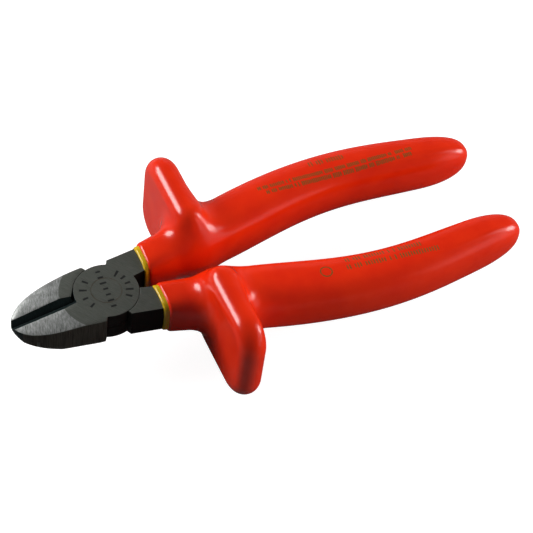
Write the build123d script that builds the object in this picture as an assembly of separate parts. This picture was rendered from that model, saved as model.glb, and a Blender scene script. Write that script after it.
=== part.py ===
from build123d import *
import math
import os

# Insulated diagonal cutting pliers with a lap joint and dipped grips.
# Millimetres. +X runs from the pivot towards the handles and +Z is up, out of the
# upper joint face. The origin is on the pivot axis, in the lower joint face.
# The shapes are drawn about the tool's middle plane and lifted to the origin at the end.
# The right half has its handle at +Y, its jaw at -Y and the upper joint disc.
# The left half is the other way up: handle at -Y, jaw at +Y and the lower joint disc.
RIGHT = 1
LEFT = -1

# Joint
HEAD_THICK = 10.9           # over the two joint discs, and of both tangs
MID = HEAD_THICK / 2
DISC_RADIUS = 10.5
POCKET_CLEARANCE = 0.15     # round the other half's disc
LAP_GAP = 0.05              # between the two discs
RIVET_RADIUS = 4.0
RIVET_HEAD_RADIUS = 4.9     # flush countersunk ends
RIVET_CLEARANCE = 0.05      # radial, in the right half, which turns on the rivet

# Jaws, as plan points from the rear shoulder round to the nose
JAW_SHOULDER_INNER = (-3.3, 9.9)
JAW_OUTLINE = [(-4.2, 11.4), (-10.0, 10.75), (-16.0, 9.95), (-22.0, 8.6), (-26.6, 6.6), (-30.0, 3.6),
               (-31.4, 0.4)]
# Distance from the pivot, and depth below the upper face or height above the lower face.
# The upper facets begin at the second point and the nose at the last one.
JAW_TOP = [(10.6, 0.0), (15.0, 0.4), (32.0, 4.65)]
JAW_UNDERSIDE = [(20.5, 0.0), (29.5, 2.5), (32.0, 5.2)]
EDGE_GAP = 0.04             # between the two cutting edges when closed
EDGE_HEEL_X = -10.3
EDGE_HEEL_DEPTH = 1.05      # below the upper face
EDGE_SLOPE = 0.23
BEVEL_SPREAD = 1.30         # sideways run of the upper bevel for each unit of height
RELIEF_SPREAD = 0.28        # the same below the cutting edge
HEEL_NOTCH = [(-9.4, 4.9), (-11.6, 1.0), (-10.6, 0.0), (-9.0, 2.0)]

# Tangs, as plan points of the right half
TANG_SHOULDER_INNER = (3.5, 9.8)
TANG_SHOULDER_OUTER = (4.3, 11.4)
CROTCH = (10.3, 2.5)
TANG_WIDTH = 9.1
TANG_INSERT = 2.5           # how far the square neck runs on inside the coat

# Handle centreline of the right half, from the collar to the end of the steel
HANDLE_LINE = [(14.2, 8.2), (28.0, 11.0), (42.0, 14.1), (58.0, 17.8), (74.0, 21.0),
               (90.0, 22.3), (106.0, 21.8), (122.0, 20.0), (136.0, 18.9)]
# Station along that line (0 to 1), half width and half height of the steel bar
STEEL_SIZES = [(0.0, 4.55, 5.45), (0.15, 5.0, 5.6), (0.4, 5.6, 5.6), (0.7, 4.8, 5.2), (0.99, 3.4, 4.2)]
# The same for the outside of the grip before its end is rounded
GRIP_SIZES = [(0.0, 6.6, 7.4), (0.04, 7.0, 7.9), (0.12, 8.0, 8.7), (0.24, 9.25, 9.7), (0.45, 9.0, 9.6),
              (0.70, 8.3, 9.4), (0.85, 7.6, 9.2), (0.92, 7.3, 9.05), (0.96, 7.2, 8.9), (1.0, 7.1, 8.8)]
GRIP_END_X = 142.4
END_ROUNDING = 19.4         # length over which the grip closes to its rounded end
END_SQUARENESS = 2.58       # exponent of that curve: 2 is an ellipse
END_STEPS = (2.6, 4.6, 5.8, 6.3)        # past the end of the centreline
STEEL_CORNERS = 0.25        # corner radius as a share of the smaller half size
COAT_CORNERS = 0.45
GRIP_CORNERS = 0.75
COAT_THICK = 1.2            # yellow warning coat under the outer grip
COLLAR_LEAD = 3.0           # length of coat drawn ahead of the centreline, then cut off
COLLAR_X = 14.3             # where the yellow coat begins
MOUTH_X = 15.8              # where the outer grip begins

# Guard, an upright plate across the grip
GUARD_X = 33.1
GUARD_THICK = 9.4
GUARD_REACH = 42.8          # outermost Y
GUARD_HEIGHT = 35.2
GUARD_CORNER = 10.2
GUARD_ROOT = (7.0, 6.0)     # Y, and half height, where the crest meets the inner side of the grip
GUARD_SHOULDER_Y = 10.5     # where the crest reaches its full height
SHOULDER_CORNER = 6.5
ROOT_CORNER = 5.0
CORE_DEPTH = 2.2            # of the guard core below the outer surface
RIM_FLAT = 0.1              # left between the two rim fillets


def plan_face(points):
    """Flat face in the XY plane through the given corners."""
    return make_face(Polyline(*points, close=True))


def slab(face, low, high):
    """Extrude a plan face between two heights."""
    return Pos(0, 0, low) * extrude(face, amount=high - low, dir=(0, 0, 1))


def jaw_plan(y_sign):
    """Plan of one jaw, out to the line where the cutting edges meet."""
    outline = [(x, y_sign * y) for x, y in JAW_OUTLINE]
    nose = Spline(*outline, tangents=[(-1, -0.02 * y_sign), (-0.12, -y_sign)])
    rest = Polyline(outline[-1], (outline[-1][0], 0), (0, 0),
                    (JAW_SHOULDER_INNER[0], y_sign * JAW_SHOULDER_INNER[1]), outline[0])
    return make_face([nose, rest])


def facet_envelope():
    """Turned body that holds the jaws: flat near the joint, then sloping on both faces."""
    top = [(reach, 0, MID - depth) for reach, depth in reversed(JAW_TOP)]
    underside = [(reach, 0, height - MID) for reach, height in JAW_UNDERSIDE]
    profile = Polyline((0, 0, -MID), *underside, *top, (0, 0, MID), close=True)
    return revolve(make_face(profile), axis=Axis.Z)


def edge_cutter(y_sign):
    """Prism that leaves the upper bevel, the cutting edge and the relief below it."""
    reach = 2 * HEAD_THICK
    heel_z = MID - EDGE_HEEL_DEPTH
    edge_y = y_sign * EDGE_GAP / 2
    profile = Polyline((EDGE_HEEL_X, edge_y, heel_z),
                       (EDGE_HEEL_X, edge_y + y_sign * BEVEL_SPREAD * reach, heel_z + reach),
                       (EDGE_HEEL_X, -y_sign, heel_z + reach),
                       (EDGE_HEEL_X, -y_sign, heel_z - reach),
                       (EDGE_HEEL_X, edge_y + y_sign * RELIEF_SPREAD * reach, heel_z - reach),
                       close=True)
    length = -JAW_OUTLINE[-1][0]
    return extrude(make_face(profile), amount=length, dir=(-1, 0, -EDGE_SLOPE))


def jaw(side):
    """One jaw with its ground facets and cutting edge."""
    y_sign = -side
    blank = slab(jaw_plan(y_sign), -MID, MID)
    notch = slab(plan_face([(x, y_sign * y) for x, y in HEEL_NOTCH]), -side * MID / 2 - MID / 2,
                 -side * MID / 2 + MID / 2)
    return (blank & facet_envelope()) - edge_cutter(y_sign) - notch


def tang(side):
    """Neck of one half, from its joint disc to just inside the yellow coat."""
    end = section_plane(0).offset(TANG_INSERT)
    outer = end.origin + end.x_dir * (TANG_WIDTH / 2)
    inner = end.origin - end.x_dir * (TANG_WIDTH / 2)
    points = [(0, 0), TANG_SHOULDER_INNER, TANG_SHOULDER_OUTER, (outer.X, outer.Y), (inner.X, inner.Y), CROTCH]
    return slab(plan_face([(x, side * y) for x, y in points]), -MID, MID)


def rivet_body(clearance):
    """Rivet shank with two flush countersunk ends, grown sideways by the clearance."""
    neck = RIVET_RADIUS + clearance
    head = RIVET_HEAD_RADIUS + clearance
    sink = MID - (head - neck)
    profile = Polyline((0, 0, -MID), (head, 0, -MID), (neck, 0, -sink), (neck, 0, sink),
                       (head, 0, MID), (0, 0, MID), close=True)
    return revolve(make_face(profile), axis=Axis.Z)


def head(side):
    """Jaw, joint disc and tang of one half."""
    disc = Cylinder(DISC_RADIUS, HEAD_THICK)
    pocket = Cylinder(DISC_RADIUS + POCKET_CLEARANCE, HEAD_THICK)
    pocket_lift = side * (LAP_GAP / 2 - MID)
    clearance = RIVET_CLEARANCE if side == RIGHT else 0
    return jaw(side) + disc + tang(side) - Pos(0, 0, pocket_lift) * pocket - rivet_body(clearance)


def section_plane(station):
    """Plane across the handle centreline, with its local X pointing outward."""
    line = Spline(*HANDLE_LINE)
    along = line.tangent_at(station)
    return Plane(origin=line.position_at(station), x_dir=(-along.Y, along.X, 0), z_dir=along)


def steel_bar():
    """Forged handle inside the coats."""
    sections = []
    for station, half_width, half_height in STEEL_SIZES:
        profile = RectangleRounded(2 * half_width, 2 * half_height, STEEL_CORNERS * half_width)
        sections.append(section_plane(station) * profile)
    return loft(sections)


def coated_bar():
    """Outside of the yellow coat, from the collar to its closed end past the steel."""
    lead = section_plane(0).offset(-COLLAR_LEAD)
    covered = STEEL_SIZES[:-1] + [(1.0,) + STEEL_SIZES[-1][1:]]
    sections = [lead * coat_profile(*STEEL_SIZES[0][1:])]
    for station, half_width, half_height in covered:
        sections.append(section_plane(station) * coat_profile(half_width, half_height))
    return behind(loft(sections), COLLAR_X)


def coat_profile(half_width, half_height):
    """Outline of the yellow coat round the steel's section."""
    radius = COAT_CORNERS * half_width + COAT_THICK
    return RectangleRounded(2 * (half_width + COAT_THICK), 2 * (half_height + COAT_THICK), radius)


def behind(solid, start_x):
    """The part of a solid on the handle side of a plane across the tool."""
    size = 4 * GRIP_END_X
    return solid & Pos(start_x + size / 2, 0, 0) * Box(size, size, size)


def end_share(x):
    """Share of the full section that is left where the grip closes."""
    closing = max(0, x - GRIP_END_X + END_ROUNDING) / END_ROUNDING
    return (1 - closing ** END_SQUARENESS) ** (1 / END_SQUARENESS)


def grip_bar():
    """Outside of the grip without its guard, with the rounded end."""
    line_end = section_plane(1)
    sections = []
    for station, half_width, half_height in GRIP_SIZES:
        plane = section_plane(station)
        share = end_share(plane.origin.X)
        sections.append(plane * grip_profile(share * half_width, share * half_height))
    for step in END_STEPS:
        plane = line_end.offset(step)
        share = end_share(plane.origin.X)
        sections.append(plane * grip_profile(share * half_width, share * half_height))
    return behind(loft(sections), MOUTH_X)


def grip_profile(half_width, half_height):
    """Rounded rectangle of the grip's section."""
    return RectangleRounded(2 * half_width, 2 * half_height, GRIP_CORNERS * half_width)


def guard_plate(margin):
    """Guard of the right grip with a fully rounded rim, shrunk all round by the margin."""
    half_thick = GUARD_THICK / 2 - margin
    top = GUARD_HEIGHT / 2 - margin
    outer = GUARD_REACH - margin
    root_y, root_z = GUARD_ROOT
    corners = [(root_y, -root_z), (GUARD_SHOULDER_Y, -top), (outer, -top),
               (outer, top), (GUARD_SHOULDER_Y, top), (root_y, root_z)]
    plan = make_face(Polyline(*corners, close=True))
    for corner_y, radius in ((outer, GUARD_CORNER - margin), (GUARD_SHOULDER_Y, SHOULDER_CORNER),
                             (root_y, ROOT_CORNER)):
        plan = fillet(plan.vertices().filter_by(lambda v: at_corner(v, corner_y, corners)), radius)
    plate = extrude(Plane.YZ.offset(GUARD_X) * plan, amount=half_thick, both=True)
    rim = plate.edges().filter_by(lambda e: abs(abs(e.center().X - GUARD_X) - half_thick) < 0.01)
    return fillet(rim, half_thick - RIM_FLAT / 2)


def at_corner(vertex, corner_y, corners):
    """True for a vertex on one of the drawn corners that has this Y."""
    drawn = any(math.dist((vertex.X, vertex.Y), corner) < 0.01 for corner in corners)
    return drawn and abs(vertex.X - corner_y) < 0.01


def guard_core():
    """Moulded guard insert between the two coats."""
    return guard_plate(CORE_DEPTH) - coated_bar()


def inner_coat():
    """Yellow coat over the steel."""
    return coated_bar() - steel_bar() - tang(RIGHT)


def outer_grip():
    """Orange outer coat with its guard, over the yellow coat and the guard core."""
    return grip_bar() + guard_plate(0) - guard_plate(CORE_DEPTH) - coated_bar()


def write_parts():
    """Write one STEP file per piece."""
    os.makedirs("parts", exist_ok=True)
    upside_down = Rot(180, 0, 0)
    right_pieces = {"inner_coat": inner_coat(), "guard_core": guard_core(), "outer_grip": outer_grip()}
    pieces = {"pivot_rivet": rivet_body(0),
              "right_lever": head(RIGHT) + steel_bar(),
              "left_lever": head(LEFT) + upside_down * steel_bar()}
    for name, piece in right_pieces.items():
        pieces["right_" + name] = piece
        pieces["left_" + name] = upside_down * piece
    for name, piece in pieces.items():
        export_step(Pos(0, 0, MID) * piece, os.path.join("parts", name + ".step"))


write_parts()
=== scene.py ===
import math

import bpy
import numpy as np
from mathutils import Matrix, Vector


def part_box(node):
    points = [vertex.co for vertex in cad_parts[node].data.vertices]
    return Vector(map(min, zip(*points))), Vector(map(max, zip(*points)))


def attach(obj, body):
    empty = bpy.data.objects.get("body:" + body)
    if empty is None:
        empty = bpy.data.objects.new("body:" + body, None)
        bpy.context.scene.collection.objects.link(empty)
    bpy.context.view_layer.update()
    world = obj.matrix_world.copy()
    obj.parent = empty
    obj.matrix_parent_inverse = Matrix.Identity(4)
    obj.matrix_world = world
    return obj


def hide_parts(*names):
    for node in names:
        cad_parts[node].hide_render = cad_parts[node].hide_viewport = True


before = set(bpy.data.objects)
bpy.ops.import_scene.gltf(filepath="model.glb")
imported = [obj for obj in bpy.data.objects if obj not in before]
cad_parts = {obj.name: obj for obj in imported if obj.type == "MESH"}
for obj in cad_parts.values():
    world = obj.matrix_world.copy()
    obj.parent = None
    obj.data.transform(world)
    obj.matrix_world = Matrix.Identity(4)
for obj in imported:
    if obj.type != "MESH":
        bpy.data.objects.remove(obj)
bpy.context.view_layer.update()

MM = 0.001

# Shapes are worked out in millimetres about the middle plane of the tool, for the right
# grip (+Y), then lifted to the frame. The left grip is the right one turned about X.
HEAD_LOW, HEAD_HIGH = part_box("pivot_rivet")
MID = (HEAD_LOW.z + HEAD_HIGH.z) / 2
GRIP_LOW, GRIP_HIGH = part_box("right_outer_grip")

# Handle centreline: it starts at the collar and follows the steel to the end of the grip
LINE_X = [14.2, 28, 42, 50, 58, 66, 76, 86, 98, 110, 122, 134, 145]
LINE_Y = [8.2, 11.0, 14.1, 15.9, 17.85, 19.6, 21.2, 22.1, 22.3, 21.45, 19.95, 19.0, 18.6]
centreline = np.polynomial.Polynomial.fit(LINE_X, LINE_Y, 7)
line_slope = centreline.deriv()

# Half width and half height of the grip and of the yellow coat along it
SIZE_X = [14, 16, 19, 24, 30, 42, 60, 80, 100, 120, 145]
GRIP_WIDTHS = [6.4, 6.6, 7.0, 7.6, 8.25, 9.2, 9.25, 8.85, 8.3, 7.6, 6.9]
GRIP_HEIGHTS = [7.15, 7.45, 7.85, 8.35, 8.85, 9.6, 9.75, 9.5, 9.4, 9.2, 8.7]
half_width = np.polynomial.Polynomial.fit(SIZE_X, GRIP_WIDTHS, 6)
half_height = np.polynomial.Polynomial.fit(SIZE_X, GRIP_HEIGHTS, 6)
COAT_X = [14, 32, 63, 100, 136]
coat_width = np.polynomial.Polynomial.fit(COAT_X, [6.0, 6.2, 6.8, 6.0, 4.7], 3)
coat_height = np.polynomial.Polynomial.fit(COAT_X, [6.85, 6.9, 6.85, 6.45, 5.4], 3)
SQUARE_X = [15, 20, 27, 45, 125, 142]
SQUARENESS = [3.4, 2.8, 2.15, 2.7, 2.7, 2.55]       # exponent of the grip's section: 2 is an ellipse
COAT_SQUARENESS = 3.5
COLLAR_X = 14.3             # where the yellow coat begins
MOUTH_X = 15.8              # where the orange coat begins
GRIP_END = GRIP_HIGH.x / MM
END_ROUNDING = 19.4
END_SQUARENESS = 2.58
COAT_END = GRIP_END - 6.5
COAT_ROUNDING = 3.0
COAT_END_SQUARENESS = 2.0
COAT_THICK = 1.2
COAT_LIP = 0.6

# Guard: an upright plate with a round rim
GUARD_X = 33.1
RIM = 4.7
GUARD_REACH = GRIP_HIGH.y / MM - RIM
GUARD_TOP = (GRIP_HIGH.z - MID) / MM - RIM
GUARD_INNER = 6.0
GUARD_CORNER = 5.5
SHOULDER = (14.0, GUARD_TOP)        # Y and Z where the crest starts to fall towards the inner side
SHOULDER_NORMAL = (-0.957, 0.289)
SHOULDER_BLEND = 4.0
GUARD_FILLETS = (6.5, 9.5)  # width of the blend into the sleeve before and behind the guard
LIP_BLEND = 1.0
BORE_INSET = 0.6            # how far the orange coat reaches into the yellow one, out of sight
BORE_BLEND = 0.3
GRID = 0.45
ROOM_BEFORE, ROOM_AFTER = 1.0, 1.5      # left round the grip when its surface is found


def smooth_min(a, b, width):
    """Smaller of two distances, rounded where they meet."""
    overlap = np.maximum(width - np.abs(a - b), 0) / width
    return np.minimum(a, b) - overlap ** 2 * width / 4


def smooth_max(a, b, width):
    """Larger of two distances, rounded where they meet."""
    return -smooth_min(-a, -b, width)


def across_handle(p):
    """Distance sideways from the centreline of the handle."""
    return (p[..., 1] - centreline(p[..., 0])) / np.sqrt(1 + line_slope(p[..., 0]) ** 2)


def bar_field(p, wide, high, squareness, closing, end_squareness):
    """Approximate distance to a bar along the handle that closes with a rounded end."""
    around = np.abs(across_handle(p) / wide) ** squareness + np.abs(p[..., 2] / high) ** squareness
    reach = around ** (end_squareness / squareness) + np.maximum(closing, 0) ** end_squareness
    return (reach ** (1 / end_squareness) - 1) * np.minimum(wide, high)


def guard_field(p):
    """Distance to the guard plate."""
    centre = (GUARD_REACH + GUARD_INNER) / 2
    beyond_y = np.abs(p[..., 1] - centre) - (GUARD_REACH - GUARD_INNER) / 2 + GUARD_CORNER
    beyond_z = np.abs(p[..., 2]) - GUARD_TOP + GUARD_CORNER
    plate = np.hypot(np.maximum(beyond_y, 0), np.maximum(beyond_z, 0))
    plate += np.minimum(np.maximum(beyond_y, beyond_z), 0) - GUARD_CORNER
    beside_shoulder = p[..., 1] - SHOULDER[0]
    above_shoulder = np.abs(p[..., 2]) - SHOULDER[1]
    fall = beside_shoulder * SHOULDER_NORMAL[0] + above_shoulder * SHOULDER_NORMAL[1]
    plate = smooth_max(plate, fall, SHOULDER_BLEND)
    return np.hypot(p[..., 0] - GUARD_X, np.maximum(plate, 0)) - RIM


def coat_field(p):
    """Distance to the outside of the yellow coat."""
    x = p[..., 0]
    closing = (x - COAT_END + COAT_ROUNDING) / COAT_ROUNDING
    return bar_field(p, coat_width(x), coat_height(x), COAT_SQUARENESS, closing, COAT_END_SQUARENESS)


def grip_field(p):
    """Distance to the outer coat, negative inside it: sleeve and guard, less the bore."""
    x = p[..., 0]
    closing = (x - GRIP_END + END_ROUNDING) / END_ROUNDING
    square = np.interp(x, SQUARE_X, SQUARENESS)
    sleeve = bar_field(p, half_width(x), half_height(x), square, closing, END_SQUARENESS)
    fillet = np.interp(x, (GUARD_X - RIM, GUARD_X + RIM), GUARD_FILLETS)
    outside = smooth_min(sleeve, guard_field(p), fillet)
    outside = smooth_max(outside, MOUTH_X - x, LIP_BLEND)
    return smooth_max(outside, -coat_field(p) - BORE_INSET, BORE_BLEND)


def surface_nets(field, low, high, step):
    """Points and quads of the surface where the field is zero."""
    axes = [np.arange(a, b, step) for a, b in zip(low, high)]
    value = field(np.stack(np.meshgrid(*axes, indexing="ij"), axis=-1))
    inside = value < 0
    cells = np.array(value.shape) - 1
    summed = np.zeros((*cells, 3))
    count = np.zeros(cells)
    edges = []
    for axis in range(3):
        near = np.moveaxis(value, axis, 0)[:-1]
        far = np.moveaxis(value, axis, 0)[1:]
        found = np.argwhere((near < 0) != (far < 0))
        a = near[tuple(found.T)]
        b = far[tuple(found.T)]
        order = [axis] + [i for i in range(3) if i != axis]
        node = np.empty_like(found)
        node[:, order] = found
        place = node.astype(float)
        place[:, axis] += a / (a - b)
        ring = []
        for first, second in ((1, 1), (0, 1), (0, 0), (1, 0)):
            cell = node.copy()
            cell[:, order[1]] -= first
            cell[:, order[2]] -= second
            np.add.at(summed, tuple(cell.T), place)
            np.add.at(count, tuple(cell.T), 1)
            ring.append(cell)
        turned = (a < 0) == (axis != 1)
        edges.append((ring, turned))
    active = np.argwhere(count > 0)
    number = np.full(cells, -1)
    number[tuple(active.T)] = np.arange(len(active))
    cells_hit = tuple(active.T)
    points = np.array(low) + step * summed[cells_hit] / count[cells_hit][:, None]
    quads = []
    for ring, turned in edges:
        quad = np.stack([number[tuple(cell.T)] for cell in ring], axis=1)
        quad[~turned] = quad[~turned][:, ::-1]
        quads.append(quad)
    return points, np.concatenate(quads)


def gradient(field, points, reach=0.02):
    """Slope of the field at each point."""
    steps = np.eye(3) * reach
    return np.stack([field(points + s) - field(points - s) for s in steps], axis=-1) / (2 * reach)


def settle(field, points, quads, rounds=6, least_slope=0.05):
    """Even out the points and set them on the surface. The last two rounds only set them."""
    pairs = np.concatenate([quads[:, [0, 1]], quads[:, [1, 2]], quads[:, [2, 3]], quads[:, [3, 0]]])
    ends = np.concatenate([pairs, pairs[:, ::-1]])
    count = np.bincount(ends[:, 0], minlength=len(points))[:, None]
    for turn in range(rounds):
        if turn < rounds - 2:
            sums = [np.bincount(ends[:, 0], points[ends[:, 1], i], len(points)) for i in range(3)]
            points = (points + np.stack(sums, axis=1) / count) / 2
        slope = gradient(field, points)
        steep = np.maximum((slope ** 2).sum(axis=1, keepdims=True), least_slope)
        points = points - np.clip(field(points)[:, None] * slope / steep, -GRID, GRID)
    return points


def mesh_object(name, points, faces, body):
    """Smooth-shaded mesh from points in millimetres about the middle plane, riding on a CAD body."""
    mesh = bpy.data.meshes.new(name)
    placed = points * MM + np.array([0, 0, MID])
    mesh.from_pydata(placed.tolist(), [], [list(map(int, f)) for f in faces])
    mesh.update()
    mesh.shade_smooth()
    piece = bpy.data.objects.new(name, mesh)
    bpy.context.scene.collection.objects.link(piece)
    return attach(piece, body)


TURN = {"right": np.array([1, 1, 1]), "left": np.array([1, -1, -1])}


def make_grips():
    """Outer coats of both handles."""
    low = (COLLAR_X - ROOM_BEFORE, -ROOM_BEFORE, -GUARD_TOP - RIM - ROOM_BEFORE)
    high = (GRIP_END + ROOM_AFTER, GUARD_REACH + RIM + ROOM_AFTER, GUARD_TOP + RIM + ROOM_AFTER)
    points, quads = surface_nets(grip_field, low, high, GRID)
    points = settle(grip_field, points, quads)
    grips = {}
    for side, turn in TURN.items():
        grip = mesh_object(side + "_grip", points * turn, quads, side + "_half")
        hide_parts(side + "_outer_grip")
        grips[side] = grip
    return grips


def ring_points(x, growth, count=96):
    """One ring of the yellow coat in the plane across the tool at x, grown from the coat's outside."""
    angle = np.linspace(0, 2 * math.pi, count, endpoint=False)
    reach = np.abs(np.cos(angle)) ** COAT_SQUARENESS + np.abs(np.sin(angle)) ** COAT_SQUARENESS
    reach = reach ** (-1 / COAT_SQUARENESS)
    across = np.cos(angle) * reach * (coat_width(x) + growth)
    y = centreline(x) + across * math.hypot(1, line_slope(x))
    return np.stack([np.full(count, x), y, np.sin(angle) * reach * (coat_height(x) + growth)], axis=1)


def make_inner_coats():
    """Yellow coats: a sleeve over the steel with a rounded lip at the collar and a closed far end."""
    # Each ring as its X and its growth from the coat's outside
    inside = COAT_END - 2
    bore = [(x, -COAT_THICK) for x in (inside, 60, COLLAR_X + 1, COLLAR_X + 0.1)]
    lip = [(COLLAR_X + COAT_LIP * (1 - math.cos(angle)), -COAT_LIP * (1 - math.sin(angle)))
           for angle in np.linspace(0, math.pi / 2, 8)]
    outside = [(x, 0.0) for x in np.linspace(COLLAR_X + 1.2, inside - 1, 50)]
    far_end = [(COAT_END - 1.8, -0.15), (COAT_END - 1.3, -0.6), (COAT_END - 1, -1.6)]
    rings = bore + lip + outside + far_end
    points = np.concatenate([ring_points(x, growth) for x, growth in rings])
    count = len(points) // len(rings)
    faces = []
    for r in range(len(rings) - 1):
        for i in range(count):
            j = (i + 1) % count
            faces.append((r * count + i, r * count + j, (r + 1) * count + j, (r + 1) * count + i))
    faces.append(list(range(count))[::-1])
    faces.append([(len(rings) - 1) * count + i for i in range(count)])
    coats = {}
    for side, turn in TURN.items():
        coat = mesh_object(side + "_coat", points * turn, faces, side + "_half")
        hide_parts(side + "_inner_coat")
        coats[side] = coat
    return coats


# ---------------------------------------------------------------- materials


class Shade:
    """Small builder of one node material."""

    def __init__(self, name):
        self.material = bpy.data.materials.new(name)
        self.material.use_nodes = True
        self.tree = self.material.node_tree
        self.shader = self.tree.nodes["Principled BSDF"]

    def put(self, socket, value):
        """Set a socket to a number, or link it."""
        if isinstance(value, bpy.types.NodeSocket):
            self.tree.links.new(value, socket)
        elif value is not None:
            socket.default_value = value

    def node(self, kind, *values, **settings):
        """Add a node, with its first inputs and its settings."""
        node = self.tree.nodes.new("ShaderNode" + kind)
        for key, value in settings.items():
            setattr(node, key, value)
        for socket, value in zip(node.inputs, values):
            self.put(socket, value)
        return node

    def math(self, operation, *values, clamp=False):
        """Result of a maths node."""
        return self.node("Math", *values, operation=operation, use_clamp=clamp).outputs[0]

    def place(self, scale=(1, 1, 1), turn=0.0):
        """Object coordinates in millimetres, turned about Z and then stretched."""
        coordinates = self.node("TexCoord").outputs["Object"]
        turned = self.node("VectorRotate", coordinates, rotation_type="Z_AXIS")
        turned.inputs["Angle"].default_value = turn
        factors = tuple(s / MM for s in scale)
        return self.node("VectorMath", turned.outputs[0], factors, operation="MULTIPLY").outputs[0]

    def noise(self, where, scale, detail=2.0, rough=0.5):
        """Fractal noise between 0 and 1."""
        node = self.node("TexNoise")
        self.put(node.inputs["Vector"], where)
        node.inputs["Scale"].default_value = scale
        node.inputs["Detail"].default_value = detail
        node.inputs["Roughness"].default_value = rough
        return node.outputs["Fac"]

    def spread(self, value, low, high, out_low=0.0, out_high=1.0):
        """Map a range of values to another, held at its ends."""
        return self.node("MapRange", value, low, high, out_low, out_high).outputs[0]

    def mix(self, share, first, second):
        """Colour between two colours."""
        node = self.node("Mix", data_type="RGBA")
        self.put(node.inputs[0], share)
        for socket, value in ((node.inputs[6], first), (node.inputs[7], second)):
            self.put(socket, value if isinstance(value, bpy.types.NodeSocket) else (*value, 1.0))
        return node.outputs[2]

    def bump(self, height, strength, distance):
        """Let a height tilt the shader's normal."""
        node = self.node("Bump")
        self.put(node.inputs["Height"], height)
        node.inputs["Strength"].default_value = strength
        node.inputs["Distance"].default_value = distance
        self.put(self.shader.inputs["Normal"], node.outputs[0])

    def surface(self, **values):
        """Set the shader's own sockets. An underscore stands for a space in a socket's name."""
        for name, value in values.items():
            self.put(self.shader.inputs[name.replace("_", " ")], value)


def product(shade, *factors):
    """Product of several masks."""
    result = factors[0]
    for factor in factors[1:]:
        result = shade.math("MULTIPLY", result, factor)
    return result


def strokes(shade, along, aside, length, height, spacing, thick, kept=0.8):
    """Row of plain short upright strokes of uneven height, some left out: 1 on a stroke."""
    cell = shade.math("FLOOR", shade.math("DIVIDE", along, spacing))
    edge = 0.5 - 0.5 * thick / spacing
    chance = shade.node("TexWhiteNoise", noise_dimensions="1D")
    shade.put(chance.inputs["W"], cell)
    chance = chance.outputs["Value"]
    here = shade.math("LESS_THAN", chance, kept)
    middle = shade.math("PINGPONG", shade.math("DIVIDE", along, spacing), 0.5)
    upright = shade.spread(middle, edge, edge + 0.04)
    half = shade.spread(chance, 0.0, kept, 0.5 * height, 0.35 * height)
    beyond = shade.math("SUBTRACT", shade.math("ABSOLUTE", aside), half)
    inside = shade.spread(beyond, 0.05, -0.05)
    begun = shade.math("GREATER_THAN", along, 0.0)
    not_past = shade.math("LESS_THAN", along, length)
    return product(shade, here, upright, inside, begun, not_past)


def straight_row(shade, where, start, end, **sizes):
    """Row of strokes along a line in the plan."""
    dx, dy = end[0] - start[0], end[1] - start[1]
    length = math.hypot(dx, dy)
    dx, dy = dx / length, dy / length
    along = shade.node("VectorMath", where, (dx, dy, 0), operation="DOT_PRODUCT").outputs["Value"]
    aside = shade.node("VectorMath", where, (-dy, dx, 0), operation="DOT_PRODUCT").outputs["Value"]
    along = shade.math("SUBTRACT", along, dx * start[0] + dy * start[1])
    aside = shade.math("SUBTRACT", aside, dx * start[1] - dy * start[0])
    return strokes(shade, along, aside, length, **sizes)


def joined(shade, masks):
    """Sum of masks, held at 1."""
    result = masks[0]
    for mask in masks[1:]:
        result = shade.math("ADD", result, mask, clamp=True)
    return result


# Rows of plain strokes on top of the grips, in place of printed lines: start and end in the
# plan, height of the strokes, spacing and thickness
PRINT_ROWS = [((82.0, 24.6), (95.6, 24.1), 2.5, 0.95, 0.46),
              ((61.0, 19.9), (119.5, 20.0), 1.7, 0.66, 0.44),
              ((63.3, 17.6), (119.0, 17.9), 1.7, 0.66, 0.44),
              ((75.4, -17.3), (102.6, -19.3), 2.1, 0.95, 0.46),
              ((74.6, -20.4), (107.6, -22.9), 2.2, 0.95, 0.46)]
RING_CENTRE = (67.7, -19.8, 0)          # of a plain printed ring
RING_RADIUS = 1.9


def print_mask(shade):
    """Worn rows of strokes, printed on the upper side only."""
    where = shade.place()
    rows = [straight_row(shade, where, start, end, height=height, spacing=spacing, thick=thick)
            for start, end, height, spacing, thick in PRINT_ROWS]
    level = shade.node("SeparateXYZ", where).outputs[2]
    centred = shade.node("VectorMath", where, RING_CENTRE, operation="SUBTRACT").outputs[0]
    in_plan = shade.node("VectorMath", centred, (1, 1, 0), operation="MULTIPLY").outputs[0]
    distance = shade.node("VectorMath", in_plan, operation="LENGTH").outputs["Value"]
    off_ring = shade.math("ABSOLUTE", shade.math("SUBTRACT", distance, RING_RADIUS))
    rows.append(shade.spread(off_ring, 0.24, 0.16))
    top = shade.math("GREATER_THAN", level, MID / MM)
    worn = shade.spread(shade.noise(where, 1.1, 3.0), 0.30, 0.52, 0.7, 1.0)
    return product(shade, joined(shade, rows), top, worn)


def vinyl(name, colour, deep, print_colour=None):
    """Glossy dipped vinyl with a faint ripple and fine specks."""
    shade = Shade(name)
    where = shade.place()
    cloud = shade.spread(shade.noise(where, 0.12, 3.0), 0.3, 0.7)
    tone = shade.mix(cloud, colour, deep)
    speck = shade.spread(shade.noise(where, 2.2, 1.0), 0.72, 0.80, 0.0, 0.2)
    tone = shade.mix(speck, tone, deep)
    rough = shade.spread(shade.noise(where, 0.5, 4.0), 0.3, 0.7, 0.20, 0.24)
    if print_colour:
        tone = shade.mix(print_mask(shade), tone, print_colour)
    shade.surface(Base_Color=tone, Roughness=rough, Coat_Weight=0.2, Coat_Roughness=0.16)
    fine = shade.math("MULTIPLY", shade.noise(where, 1.6, 2.0), 0.02)
    shade.bump(shade.math("ADD", shade.noise(where, 0.13, 1.0), fine), 0.15, 0.4 * MM)
    return shade.material


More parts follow.
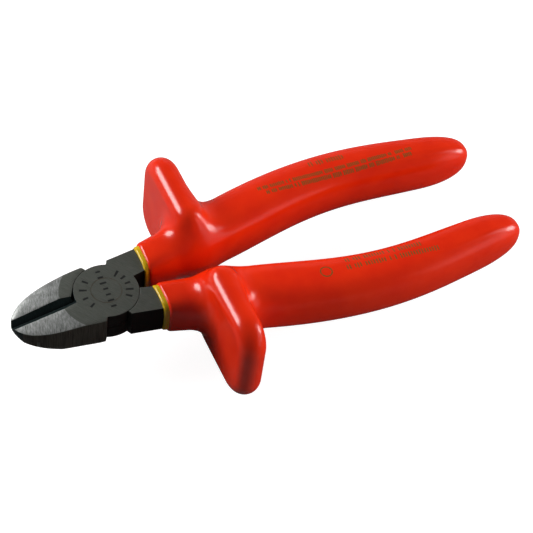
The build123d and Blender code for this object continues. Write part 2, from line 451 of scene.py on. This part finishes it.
# Plain strokes stamped in the joint: a straight row, and two arcs about the pivot given by start
# and end angle in degrees and spacing. Sizes are in millimetres.
MARK_ROW = ((0.0, -7.8), (0.0, 8.2))
ROW_SIZES = {"height": 2.2, "spacing": 2.4, "thick": 0.8, "kept": 1.0}
MARK_ARCS = [(122.0, 232.0, 3.4), (-46.0, 54.0, 2.6)]
ARC_RADIUS = 7.4
ARC_SIZES = {"height": 2.6, "thick": 0.85, "kept": 1.0}
RIVET_RADIUS = 4.9              # of the rivet's ends
SEAM_WIDTH = 0.28

# Where the surfaces of the head change, in millimetres from the pivot and the middle plane
FACET_STARTS = (20.5, 15.0)     # distance from the pivot to the lower and to the upper ground facets
FACET_END = -3.0                # X that the ground facets stay in front of
# Painted shade: within this distance from the pivot and this half height about the middle plane, the
# levers' edges and walls are painted near black, as shade in the gap where they overlap
LAP_SHADE_RADIUS = 12.0
LAP_SHADE_DEPTH = 4.0                 # half height of that band of painted shade about the middle plane
GROOVE_START = -9.0             # X where the groove between the jaws begins
GROOVE_REACH = 4.5              # half width within which a slope belongs to the groove
JAW_START = -3.8                # X and distance from the pivot where the jaws' side walls begin
JAW_RADIUS = 11.2

# Darkest and palest tone of each surface, and the plain tones of the seam and the stamp
FACE_TONES = ((0.042, 0.047, 0.039), (0.100, 0.106, 0.093))
GROUND_TONES = ((0.08, 0.085, 0.08), (0.42, 0.43, 0.42))
JAW_WALL_TONES = ((0.010, 0.008, 0.006), (0.055, 0.049, 0.040))
NECK_WALL_TONES = ((0.003, 0.002, 0.002), (0.007, 0.005, 0.004))
GROOVE_TONES = ((0.003, 0.006, 0.006), (0.012, 0.020, 0.020))
SEAM_TONE = (0.060, 0.045, 0.030)
STAMP_TONE = (0.008, 0.009, 0.009)

# Stretch of the grain on each surface, and its turn about Z
BRUSH_GRAIN = ((0.3, 5.0, 1.0), 0.94)
GROUND_GRAIN = ((3.0, 0.5, 1.0), 0.25)
WALL_GRAIN = ((3.5, 3.5, 0.12), 0.0)
GRAIN_DEPTH = 0.05 * MM


def stamp_mask(shade, where, radius, x, y):
    """Plain strokes stamped in the upper joint face."""
    aside = shade.math("SUBTRACT", radius, ARC_RADIUS)
    masks = [straight_row(shade, where, *MARK_ROW, **ROW_SIZES)]
    for low, high, spacing in MARK_ARCS:
        middle = math.radians((low + high) / 2)
        turned_x = shade.math("ADD", shade.math("MULTIPLY", x, math.cos(middle)),
                              shade.math("MULTIPLY", y, math.sin(middle)))
        turned_y = shade.math("SUBTRACT", shade.math("MULTIPLY", y, math.cos(middle)),
                              shade.math("MULTIPLY", x, math.sin(middle)))
        length = math.radians(high - low) * ARC_RADIUS
        arc = shade.math("MULTIPLY", shade.math("ARCTAN2", turned_y, turned_x), ARC_RADIUS)
        along = shade.math("ADD", arc, length / 2)
        masks.append(strokes(shade, along, aside, length, spacing=spacing, **ARC_SIZES))
    return joined(shade, masks)


def plan_radius(shade, x, y):
    """Distance from the pivot axis."""
    return shade.math("SQRT", shade.math("ADD", shade.math("MULTIPLY", x, x), shade.math("MULTIPLY", y, y)))


def joint_face(shade, where, x, y, facing):
    """Brushed phosphated grey with the rivet's brown seam and the stamp: its tone, brushing and stamp."""
    radius = plan_radius(shade, x, y)
    brushed = shade.noise(shade.place(*BRUSH_GRAIN), 1.0, 5.0, 0.75)
    tone = shade.mix(shade.spread(brushed, 0.28, 0.72), *FACE_TONES)
    off_seam = shade.math("ABSOLUTE", shade.math("SUBTRACT", radius, RIVET_RADIUS))
    seam = shade.spread(off_seam, SEAM_WIDTH, 0.05)
    worn = shade.spread(shade.noise(where, 0.8, 2.0), 0.35, 0.6, 0.2, 0.9)
    tone = shade.mix(product(shade, seam, worn), tone, SEAM_TONE)
    upward = shade.math("GREATER_THAN", facing, 0.9)
    stamp = product(shade, stamp_mask(shade, where, radius, x, y), upward)
    return shade.mix(stamp, tone, STAMP_TONE), brushed, stamp


def joint_grain(shade, brushed, stamp):
    """Height of the joint's brushed grain, with the stamp sunk in it."""
    return shade.math("SUBTRACT", shade.math("MULTIPLY", brushed, 0.5), shade.math("MULTIPLY", stamp, 2.0))


def lever_steel():
    """Dark phosphated forging with ground facets, a black groove, dark side walls, and painted shade in the
    gap where the levers overlap.
    """
    shade = Shade("lever_steel")
    where = shade.place()
    x, y, z = shade.node("SeparateXYZ", where).outputs
    facing = shade.node("SeparateXYZ", shade.node("TexCoord").outputs["Normal"]).outputs[2]
    level = shade.math("ABSOLUTE", facing)
    radius = plan_radius(shade, x, y)
    tone, brushed, stamp = joint_face(shade, where, x, y, facing)
    ground = shade.noise(shade.place(*GROUND_GRAIN), 1.0, 4.0, 0.75)
    upright = shade.noise(shade.place(*WALL_GRAIN), 1.0, 3.0, 0.7)

    # Where each kind of surface is
    past_start = shade.math("SUBTRACT", radius, shade.spread(facing, -0.1, 0.1, *FACET_STARTS))
    facet = product(shade, shade.spread(past_start, -0.12, 0.12), shade.spread(level, 0.86, 0.90),
                    shade.math("LESS_THAN", x, FACET_END))
    # Painted shade: near the middle plane and the pivot, edges and walls take the near-black wall tone, as
    # shade in the gap between the overlapping levers
    off_middle = shade.math("ABSOLUTE", shade.math("SUBTRACT", z, MID / MM))
    lap_shade = product(shade, shade.math("LESS_THAN", off_middle, LAP_SHADE_DEPTH),
                  shade.math("LESS_THAN", radius, LAP_SHADE_RADIUS))
    wall = shade.math("MAXIMUM", shade.spread(level, 0.5, 0.3), lap_shade)
    groove = product(shade, shade.spread(level, 0.86, 0.82),
                     shade.math("LESS_THAN", shade.math("ABSOLUTE", y), GROOVE_REACH),
                     shade.math("LESS_THAN", x, GROOVE_START))
    jaw_side = product(shade, shade.math("LESS_THAN", x, JAW_START),
                       shade.math("GREATER_THAN", radius, JAW_RADIUS))
    dull = shade.math("MAXIMUM", wall, groove)

    # Colour of each
    jaw_wall = shade.mix(shade.spread(upright, 0.3, 0.7), *JAW_WALL_TONES)
    neck_wall = shade.mix(shade.spread(upright, 0.3, 0.7), *NECK_WALL_TONES)
    tone = shade.mix(facet, tone, shade.mix(shade.spread(ground, 0.3, 0.7), *GROUND_TONES))
    tone = shade.mix(wall, tone, shade.mix(jaw_side, neck_wall, jaw_wall))
    tone = shade.mix(groove, tone, shade.mix(shade.spread(ground, 0.4, 0.8), *GROOVE_TONES))

    bright = shade.spread(facet, 0.0, 1.0, 0.25, 0.55)
    metal = shade.math("SUBTRACT", bright, shade.math("MULTIPLY", dull, 0.25), clamp=True)
    shade.surface(Base_Color=tone, Metallic=metal, Roughness=shade.spread(facet, 0.0, 1.0, 0.50, 0.38),
                  Specular_IOR_Level=shade.spread(dull, 0.0, 1.0, 0.5, 0.15))
    grain = shade.math("ADD", joint_grain(shade, brushed, stamp), shade.math("MULTIPLY", ground, facet))
    shade.bump(shade.math("ADD", grain, shade.math("MULTIPLY", upright, wall)), 0.35, GRAIN_DEPTH)
    return shade.material


def rivet_steel():
    """Rivet ends, ground flush with the joint."""
    shade = Shade("rivet_steel")
    where = shade.place()
    x, y = shade.node("SeparateXYZ", where).outputs[:2]
    facing = shade.node("SeparateXYZ", shade.node("TexCoord").outputs["Normal"]).outputs[2]
    tone, brushed, stamp = joint_face(shade, where, x, y, facing)
    shade.surface(Base_Color=tone, Metallic=0.25, Roughness=0.5)
    shade.bump(joint_grain(shade, brushed, stamp), 0.35, GRAIN_DEPTH)
    return shade.material


def dress(node, material):
    """Give a CAD node its material."""
    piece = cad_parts[node]
    piece.data.materials.clear()
    piece.data.materials.append(material)


def break_edges(node, width):
    """Round the sharp edges of a CAD node a little."""
    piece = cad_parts[node]
    weld = piece.modifiers.new("weld", "WELD")
    weld.merge_threshold = 0.001 * MM
    bevel = piece.modifiers.new("bevel", "BEVEL")
    bevel.width = width * MM
    bevel.segments = 2
    bevel.limit_method = "ANGLE"
    bevel.angle_limit = math.radians(35)
    bevel.use_clamp_overlap = False
    bevel.harden_normals = True


# ---------------------------------------------------------------- stage

FLOOR_RADIUS = 1.4
FLOOR_DROP = 0.2            # how far it lies below the lowest points of the tool, in millimetres
FLOOR_PALE = (0.35, 0.36)
FLOOR_GLOW = 0.93
SHEEN_PALE = (0.22, 0.25)
END_REST = 6.0              # the grips touch the floor this far before their ends, in millimetres
END_DEPTH = 8.7             # and this far below the middle plane


def paper(name, low, high, glow=0.0):
    """Matt pale paper with a faint cloudy tone."""
    shade = Shade(name)
    fine = shade.spread(shade.noise(shade.place(), 0.5, 3.0), 0.3, 0.7)
    shade.surface(Base_Color=shade.mix(fine, (low,) * 3, (high,) * 3), Roughness=0.9,
                  Emission_Color=(1, 1, 1, 1), Emission_Strength=glow)
    return shade.material


def make_floor():
    """Pale floor that the guards and the ends of the grips rest on."""
    guard_bottom = Vector((GUARD_X * MM, 0, GRIP_LOW.z))
    end_bottom = Vector(((GRIP_END - END_REST) * MM, 0, MID - END_DEPTH * MM))
    run = end_bottom - guard_bottom
    tilt = math.atan2(run.z, run.x)
    bpy.ops.mesh.primitive_circle_add(vertices=96, radius=FLOOR_RADIUS, fill_type="NGON")
    floor = bpy.context.object
    floor.name = "floor"
    floor.rotation_euler = (0, -tilt, 0)
    floor.location = guard_bottom - FLOOR_DROP * MM * Vector((-math.sin(tilt), 0, math.cos(tilt)))
    floor.data.materials.append(paper("floor_paper", *FLOOR_PALE, glow=FLOOR_GLOW))
    floor.visible_glossy = False
    floor.visible_diffuse = False
    return floor


def make_sheen(floor):
    """Dimmer copy of the floor that only shows as a reflection in the tool."""
    sheen = floor.copy()
    sheen.data = floor.data.copy()
    sheen.name = "floor_sheen"
    bpy.context.scene.collection.objects.link(sheen)
    sheen.data.materials.clear()
    sheen.data.materials.append(paper("sheen_paper", *SHEEN_PALE))
    sheen.visible_camera = False
    sheen.visible_shadow = False
    sheen.visible_diffuse = False
    sheen.visible_glossy = True


def direction(azimuth, elevation):
    """Unit vector at the given angles in degrees: azimuth from +X towards +Y."""
    a, e = math.radians(azimuth), math.radians(elevation)
    return Vector((math.cos(a) * math.cos(e), math.sin(a) * math.cos(e), math.sin(e)))


LIGHT_AIM = Vector((0.05, 0.0, 0.0))
BOX_DISTANCE = 0.6
FILL_DISTANCE = 0.9
# Azimuth, elevation, width, height and power of the lights that show as reflections
BOXES = {"left_box": (140, 27, 0.46, 0.26, 2.8),
         "right_box": (-8, 15, 0.22, 0.20, 0.75),
         "right_glow": (-12, 30, 0.14, 0.34, 0.16)}
# The same for wide dim lights that don't
FILLS = {"left_fill": (140, 27, 0.9, 0.6, 5.0),
         "right_fill": (-30, 12, 0.9, 0.6, 11.0),
         "back_fill": (60, 12, 0.9, 0.6, 4.8)}
WORLD_LIGHT = 0.07


def area_light(name, azimuth, elevation, width, height, power, distance, gloss):
    """Soft oval light pointed at the tool from the given direction."""
    data = bpy.data.lights.new(name, "AREA")
    data.shape = "ELLIPSE"
    data.size = width
    data.size_y = height
    data.energy = power
    light = bpy.data.objects.new(name, data)
    light.location = LIGHT_AIM + distance * direction(azimuth, elevation)
    light.rotation_euler = (LIGHT_AIM - light.location).to_track_quat("-Z", "Y").to_euler()
    light.visible_glossy = gloss
    bpy.context.scene.collection.objects.link(light)


def make_light():
    """Soft studio light: a box on each side of the view, a dim glow above the right one, wide fills."""
    world = bpy.data.worlds.new("studio")
    bpy.context.scene.world = world
    world.use_nodes = True
    background = world.node_tree.nodes["Background"]
    background.inputs["Color"].default_value = (1, 1, 1, 1)
    background.inputs["Strength"].default_value = WORLD_LIGHT
    for name, values in BOXES.items():
        area_light(name, *values, distance=BOX_DISTANCE, gloss=True)
    for name, values in FILLS.items():
        area_light(name, *values, distance=FILL_DISTANCE, gloss=False)
    bpy.context.scene.view_settings.view_transform = "Standard"


# Angles of the view in degrees; the camera's distance, and how far it stands to the right of the
# pivot and above it in the view, in millimetres
VIEW_AZIMUTH, VIEW_ELEVATION, VIEW_ROLL = -31.49, 50.58, 9.19
VIEW_DISTANCE, VIEW_ASIDE, VIEW_ABOVE = 522.35, 51.2, 10.9
LENS = 110.65
SENSOR = 36.0


def make_camera():
    """Camera at the fitted viewing angle."""
    back = direction(VIEW_AZIMUTH - 90, VIEW_ELEVATION)
    level = direction(VIEW_AZIMUTH, 0)
    rise = back.cross(level)
    roll = math.radians(VIEW_ROLL)
    right = math.cos(roll) * level + math.sin(roll) * rise
    up = math.cos(roll) * rise - math.sin(roll) * level
    data = bpy.data.cameras.new("camera")
    data.lens = LENS
    data.sensor_width = SENSOR
    camera = bpy.data.objects.new("camera", data)
    bpy.context.scene.collection.objects.link(camera)
    place = (right * VIEW_ASIDE + up * VIEW_ABOVE + back * VIEW_DISTANCE) * MM + Vector((0, 0, MID))
    turn = Matrix((right, up, back)).transposed()
    camera.matrix_world = Matrix.Translation(place) @ turn.to_4x4()
    bpy.context.scene.camera = camera


EDGE_BREAK = 0.15           # width of the levers' broken edges, in millimetres
ORANGE = ((0.74, 0.024, 0.002), (0.67, 0.017, 0.0015))
INK = (0.09, 0.075, 0.016)
YELLOW = ((0.62, 0.40, 0.008), (0.52, 0.33, 0.006))
CORE = ((0.55, 0.05, 0.01), (0.45, 0.03, 0.008))

make_camera()
grips = make_grips()
coats = make_inner_coats()
orange = vinyl("orange_vinyl", *ORANGE, print_colour=INK)
yellow = vinyl("yellow_vinyl", *YELLOW)
core = vinyl("core_vinyl", *CORE)
steel = lever_steel()
for side in TURN:
    grips[side].data.materials.append(orange)
    coats[side].data.materials.append(yellow)
    dress(side + "_lever", steel)
    break_edges(side + "_lever", EDGE_BREAK)
    dress(side + "_guard_core", core)
dress("pivot_rivet", rivet_steel())
make_light()
make_sheen(make_floor())
bpy.context.view_layer.update()
